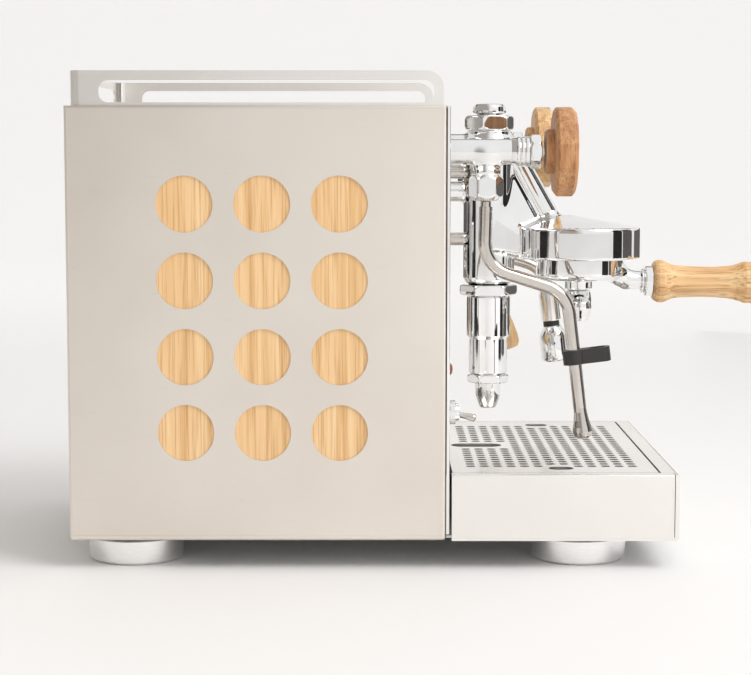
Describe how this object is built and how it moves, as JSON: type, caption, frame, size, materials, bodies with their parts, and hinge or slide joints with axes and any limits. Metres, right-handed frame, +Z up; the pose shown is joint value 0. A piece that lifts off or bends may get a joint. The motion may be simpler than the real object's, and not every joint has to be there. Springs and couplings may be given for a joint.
{
  "type": "espresso machine",
  "caption": "Lever-group espresso machine with brushed steel panels, round wood inlays, two valve knobs, steam and water wands, portafilter, cup rail and drip tray.",
  "frame": {"origin": "centre of the overall bounding box on the counter plane, under the foot pads", "axes": "+Z up, the front of the machine looks along -Y, +X is the user's right; Y = 0 is the front plane of the body"},
  "size_m": [0.274, 0.5362, 0.3537],
  "materials": {
    "brushed_panel": "fine brushed stainless sheet",
    "polished_panel": "polished stainless sheet",
    "plain_sheet": "plain rolled steel sheet",
    "satin_steel": "satin brushed",
    "oak": "oiled oak",
    "dark_oak": "oiled oak, darker piece",
    "foot_metal": "turned and brushed",
    "rubber": "black rubber",
    "chrome": "polished chrome plate",
    "wand_steel": "polished stainless",
    "copper": "plain copper",
    "brass": "turned brass",
    "black_plastic": "moulded black",
    "seat_plastic": "white sealing plastic",
    "tank_plastic": "translucent moulded tank",
    "lamp": "amber lens",
    "needle": "black paint"
  },
  "bodies": {
    "machine": {"chassis": "plain_sheet", "tray_cheeks": "satin_steel", "side_panel_left": "brushed_panel", "side_panel_right": "brushed_panel", "wood_board_left": "oak", "wood_board_right": "oak", "front_panel": "polished_panel", "rear_panel": "brushed_panel", "top_frame": "brushed_panel", "cup_rail": "brushed_panel", "feet": "foot_metal", "foot_pads": "rubber", "boiler": "copper", "heating_element": "wand_steel", "inner_brackets": "plain_sheet", "thermosyphon_pipes": "wand_steel", "feed_pipes": "copper", "vibration_pump": "black_plastic", "pressurestat": "black_plastic", "safety_valve": "brass", "control_box": "black_plastic", "power_inlet": "black_plastic", "switch_body": "chrome", "pilot_lamp": "lamp", "gauge_case": "chrome", "group_body": "chrome", "mushroom_nut": "chrome", "mushroom_cap": "chrome", "infusion_nut": "chrome", "infusion_chamber": "chrome", "discharge_nozzle": "chrome", "group_gasket": "rubber", "shower_screen": "wand_steel", "steam_valve_body": "chrome", "water_valve_body": "chrome", "valve_nuts": "chrome"},
    "cup_tray": {"cup_tray": "brushed_panel"},
    "water_tank": {"water_tank": "tank_plastic", "tank_lid": "black_plastic"},
    "drip_tray": {"drip_tray": "satin_steel"},
    "drip_grate": {"drip_grate": "satin_steel"},
    "steam_knob": {"steam_knob": "dark_oak", "steam_stem": "wand_steel"},
    "water_knob": {"water_knob": "oak", "water_stem": "wand_steel"},
    "steam_swivel": {"steam_ball_seat": "seat_plastic"},
    "steam_wand": {"steam_wand": "wand_steel", "steam_tip": "wand_steel", "steam_grip": "rubber"},
    "water_swivel": {"water_ball_seat": "seat_plastic"},
    "water_wand": {"water_wand": "wand_steel", "water_nozzle": "chrome"},
    "brew_lever": {"brew_lever": "chrome", "lever_handle": "oak"},
    "portafilter": {"portafilter_body": "chrome", "filter_basket": "wand_steel", "portafilter_spout": "chrome", "portafilter_handle": "oak"},
    "toggle_lever": {"toggle_lever": "wand_steel"},
    "gauge_needle": {"gauge_needle": "needle"}
  },
  "joints": [
    {"name": "cup_tray_lift", "type": "slide", "parent": "machine", "child": "cup_tray", "axis": [0, 0, 1], "range_m": [0, 0.03]},
    {"name": "tank_lift", "type": "slide", "parent": "machine", "child": "water_tank", "axis": [0, 0, 1], "range_m": [0, 0.012]},
    {"name": "drip_tray_slide", "type": "slide", "parent": "machine", "child": "drip_tray", "axis": [0, -1, 0], "range_m": [0, 0.15]},
    {"name": "grate_lift", "type": "slide", "parent": "drip_tray", "child": "drip_grate", "axis": [0, 0, 1], "range_m": [0, 0.015]},
    {"name": "steam_knob_turn", "type": "hinge", "parent": "machine", "child": "steam_knob", "pos_m": [-0.09, -0.0863, 0.2968], "axis": [0, -1, 0], "range_deg": [0, 540]},
    {"name": "water_knob_turn", "type": "hinge", "parent": "machine", "child": "water_knob", "pos_m": [0.09, -0.0863, 0.3003], "axis": [0, -1, 0], "range_deg": [0, 540]},
    {"name": "steam_wand_swivel", "type": "hinge", "parent": "machine", "child": "steam_swivel", "pos_m": [-0.09, -0.03, 0.266], "axis": [0, 0, 1], "range_deg": [-80, 20]},
    {"name": "steam_wand_tilt", "type": "hinge", "parent": "steam_swivel", "child": "steam_wand", "pos_m": [-0.09, -0.03, 0.266], "axis": [-1, 0, 0], "range_deg": [0, 20]},
    {"name": "water_wand_swivel", "type": "hinge", "parent": "machine", "child": "water_swivel", "pos_m": [0.09, -0.03, 0.266], "axis": [0, 0, 1], "range_deg": [-20, 80]},
    {"name": "water_wand_tilt", "type": "hinge", "parent": "water_swivel", "child": "water_wand", "pos_m": [0.09, -0.03, 0.266], "axis": [-1, 0, 0], "range_deg": [0, 20]},
    {"name": "brew_lever_lift", "type": "hinge", "parent": "machine", "child": "brew_lever", "pos_m": [0.062, -0.0374, 0.211], "axis": [-1, 0, 0], "range_deg": [0, 75]},
    {"name": "portafilter_turn", "type": "hinge", "parent": "machine", "child": "portafilter", "pos_m": [0, -0.107, 0.21], "axis": [0, 0, 1], "range_deg": [-50, 0]},
    {"name": "power_toggle_flip", "type": "hinge", "parent": "machine", "child": "toggle_lever", "pos_m": [-0.105, -0.005, 0.1084], "axis": [-1, 0, 0], "range_deg": [0, 26]},
    {"name": "gauge_needle_turn", "type": "hinge", "parent": "machine", "child": "gauge_needle", "pos_m": [0.09, -0.0026, 0.116], "axis": [0, 1, 0], "range_deg": [0, 240], "stiffness_Nm_per_rad": 0.0005}
  ]
}
